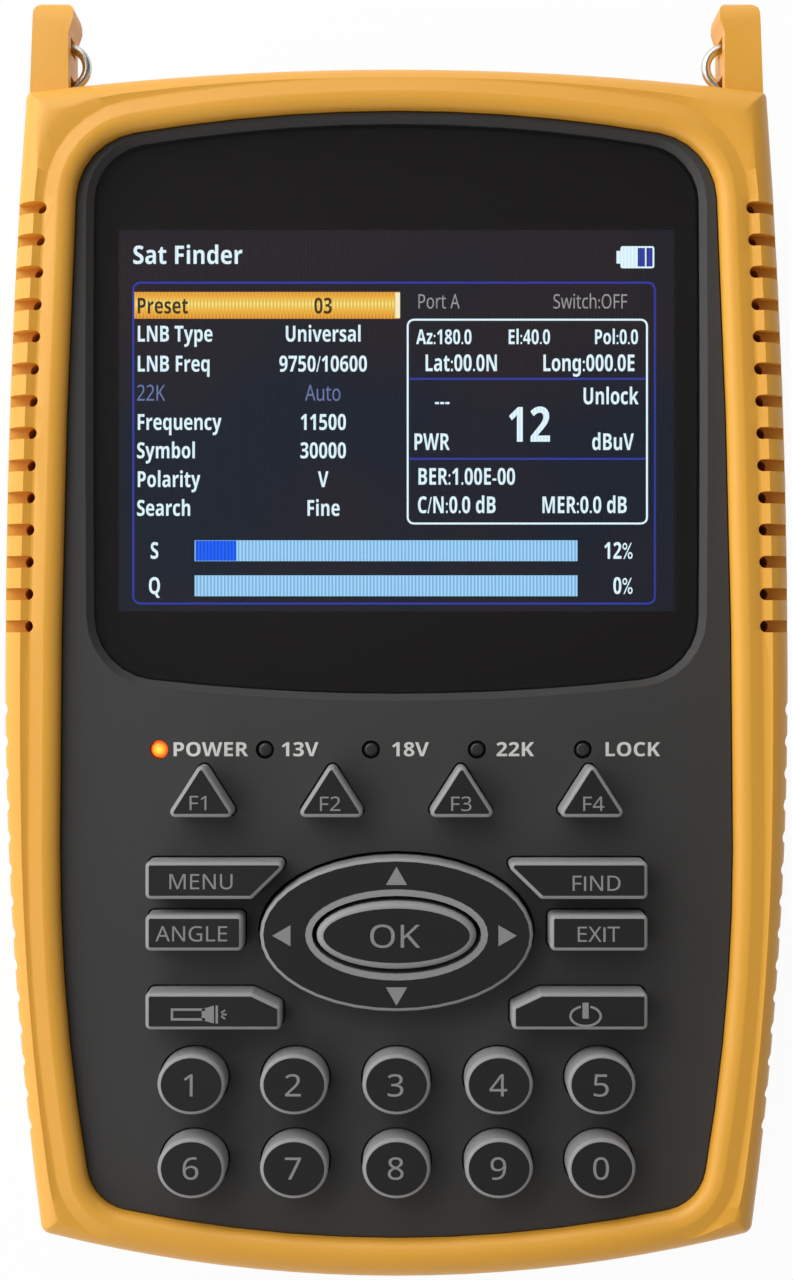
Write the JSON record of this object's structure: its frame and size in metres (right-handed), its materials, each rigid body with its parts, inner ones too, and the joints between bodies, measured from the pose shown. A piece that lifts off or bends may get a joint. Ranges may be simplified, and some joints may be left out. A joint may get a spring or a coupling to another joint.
{
  "type": "satellite signal meter",
  "caption": "Handheld satellite signal meter: rounded yellow shell with strap ears, sunk dark face with a lit screen, rubber keys and an oval rocker, coaxial input at the top end.",
  "frame": {"origin": "middle of the back, at the height of the surface that the meter lies on", "axes": "+X to the right of the face, +Y towards the strap ears and connectors, +Z out of the face"},
  "size_m": [0.0984, 0.1604, 0.0442],
  "materials": {
    "shell": "satin moulded plastic, yellow",
    "face": "fine matte",
    "lens": "glossy, black behind the border",
    "torch_lens": "clear",
    "display": "lit display",
    "gasket": "foam",
    "board": "solder mask",
    "gold": "gold plated",
    "key_rubber": "silicone rubber with black printed tops",
    "tin": "tinned sheet",
    "nickel": "nickel plated",
    "insulator": "white plastic",
    "black_plastic": "matte",
    "cell_wrap": "shrink wrap",
    "screw_steel": "zinc plated",
    "lamp": "clear lamp body, the first one lit"
  },
  "bodies": {
    "case": {"front_shell": "shell", "rear_shell": "shell", "face_panel": "face", "screen_lens": "lens", "lcd_module": "display", "lcd_gasket": "gasket", "main_board": "board", "contact_pads": "gold", "keypad_mat": "key_rubber", "tuner_can": "tin", "coax_connector": "nickel", "coax_insulator": "insulator", "coax_washer": "nickel", "coax_nut": "nickel", "connector_panel": "black_plastic", "av_jack": "black_plastic", "dc_jack": "black_plastic", "torch_bezel": "nickel", "torch_lens": "torch_lens", "battery_cells": "cell_wrap", "battery_contacts": "tin", "battery_door": "shell", "door_screws": "screw_steel", "case_screws": "screw_steel", "board_screws": "screw_steel", "buzzer": "black_plastic", "status_leds": "lamp"},
    "key_f1": {"key_f1": "key_rubber"},
    "key_f2": {"key_f2": "key_rubber"},
    "key_f3": {"key_f3": "key_rubber"},
    "key_f4": {"key_f4": "key_rubber"},
    "key_menu": {"key_menu": "key_rubber"},
    "key_find": {"key_find": "key_rubber"},
    "key_angle": {"key_angle": "key_rubber"},
    "key_exit": {"key_exit": "key_rubber"},
    "key_torch": {"key_torch": "key_rubber"},
    "key_power": {"key_power": "key_rubber"},
    "key_ok": {"key_ok": "key_rubber"},
    "key_1": {"key_1": "key_rubber"},
    "key_2": {"key_2": "key_rubber"},
    "key_3": {"key_3": "key_rubber"},
    "key_4": {"key_4": "key_rubber"},
    "key_5": {"key_5": "key_rubber"},
    "key_6": {"key_6": "key_rubber"},
    "key_7": {"key_7": "key_rubber"},
    "key_8": {"key_8": "key_rubber"},
    "key_9": {"key_9": "key_rubber"},
    "key_0": {"key_0": "key_rubber"},
    "rocker_carrier": {"rocker_carrier": "black_plastic"},
    "rocker_ring": {"rocker_ring": "key_rubber"},
    "strap_ring_left": {"strap_ring_left": "nickel"},
    "strap_ring_right": {"strap_ring_right": "nickel"}
  },
  "joints": [
    {"name": "key_f1_press", "type": "slide", "parent": "case", "child": "key_f1", "axis": [0, 0, -1], "range_m": [0, 0.0009], "stiffness_N_per_m": 800},
    {"name": "key_f2_press", "type": "slide", "parent": "case", "child": "key_f2", "axis": [0, 0, -1], "range_m": [0, 0.0009], "stiffness_N_per_m": 800},
    {"name": "key_f3_press", "type": "slide", "parent": "case", "child": "key_f3", "axis": [0, 0, -1], "range_m": [0, 0.0009], "stiffness_N_per_m": 800},
    {"name": "key_f4_press", "type": "slide", "parent": "case", "child": "key_f4", "axis": [0, 0, -1], "range_m": [0, 0.0009], "stiffness_N_per_m": 800},
    {"name": "key_menu_press", "type": "slide", "parent": "case", "child": "key_menu", "axis": [0, 0, -1], "range_m": [0, 0.0009], "stiffness_N_per_m": 800},
    {"name": "key_find_press", "type": "slide", "parent": "case", "child": "key_find", "axis": [0, 0, -1], "range_m": [0, 0.0009], "stiffness_N_per_m": 800},
    {"name": "key_angle_press", "type": "slide", "parent": "case", "child": "key_angle", "axis": [0, 0, -1], "range_m": [0, 0.0009], "stiffness_N_per_m": 800},
    {"name": "key_exit_press", "type": "slide", "parent": "case", "child": "key_exit", "axis": [0, 0, -1], "range_m": [0, 0.0009], "stiffness_N_per_m": 800},
    {"name": "key_torch_press", "type": "slide", "parent": "case", "child": "key_torch", "axis": [0, 0, -1], "range_m": [0, 0.0009], "stiffness_N_per_m": 800},
    {"name": "key_power_press", "type": "slide", "parent": "case", "child": "key_power", "axis": [0, 0, -1], "range_m": [0, 0.0009], "stiffness_N_per_m": 800},
    {"name": "key_ok_press", "type": "slide", "parent": "case", "child": "key_ok", "axis": [0, 0, -1], "range_m": [0, 0.0009], "stiffness_N_per_m": 800},
    {"name": "key_1_press", "type": "slide", "parent": "case", "child": "key_1", "axis": [0, 0, -1], "range_m": [0, 0.0009], "stiffness_N_per_m": 800},
    {"name": "key_2_press", "type": "slide", "parent": "case", "child": "key_2", "axis": [0, 0, -1], "range_m": [0, 0.0009], "stiffness_N_per_m": 800},
    {"name": "key_3_press", "type": "slide", "parent": "case", "child": "key_3", "axis": [0, 0, -1], "range_m": [0, 0.0009], "stiffness_N_per_m": 800},
    {"name": "key_4_press", "type": "slide", "parent": "case", "child": "key_4", "axis": [0, 0, -1], "range_m": [0, 0.0009], "stiffness_N_per_m": 800},
    {"name": "key_5_press", "type": "slide", "parent": "case", "child": "key_5", "axis": [0, 0, -1], "range_m": [0, 0.0009], "stiffness_N_per_m": 800},
    {"name": "key_6_press", "type": "slide", "parent": "case", "child": "key_6", "axis": [0, 0, -1], "range_m": [0, 0.0009], "stiffness_N_per_m": 800},
    {"name": "key_7_press", "type": "slide", "parent": "case", "child": "key_7", "axis": [0, 0, -1], "range_m": [0, 0.0009], "stiffness_N_per_m": 800},
    {"name": "key_8_press", "type": "slide", "parent": "case", "child": "key_8", "axis": [0, 0, -1], "range_m": [0, 0.0009], "stiffness_N_per_m": 800},
    {"name": "key_9_press", "type": "slide", "parent": "case", "child": "key_9", "axis": [0, 0, -1], "range_m": [0, 0.0009], "stiffness_N_per_m": 800},
    {"name": "key_0_press", "type": "slide", "parent": "case", "child": "key_0", "axis": [0, 0, -1], "range_m": [0, 0.0009], "stiffness_N_per_m": 800},
    {"name": "rocker_left_right", "type": "hinge", "parent": "case", "child": "rocker_carrier", "pos_m": [0, -0.03665, 0.0353], "axis": [0, 1, 0], "range_deg": [-2, 2], "stiffness_Nm_per_rad": 0.4},
    {"name": "rocker_up_down", "type": "hinge", "parent": "rocker_carrier", "child": "rocker_ring", "pos_m": [0, -0.03665, 0.0372], "axis": [1, 0, 0], "range_deg": [-3, 3], "stiffness_Nm_per_rad": 0.4},
    {"name": "strap_ring_left_swing", "type": "hinge", "parent": "case", "child": "strap_ring_left", "pos_m": [-0.04251, 0.07255, 0.0355], "axis": [0, 1, 0], "range_deg": [-30, 30]},
    {"name": "strap_ring_right_swing", "type": "hinge", "parent": "case", "child": "strap_ring_right", "pos_m": [0.04251, 0.07255, 0.0355], "axis": [0, 1, 0], "range_deg": [-30, 30]}
  ]
}
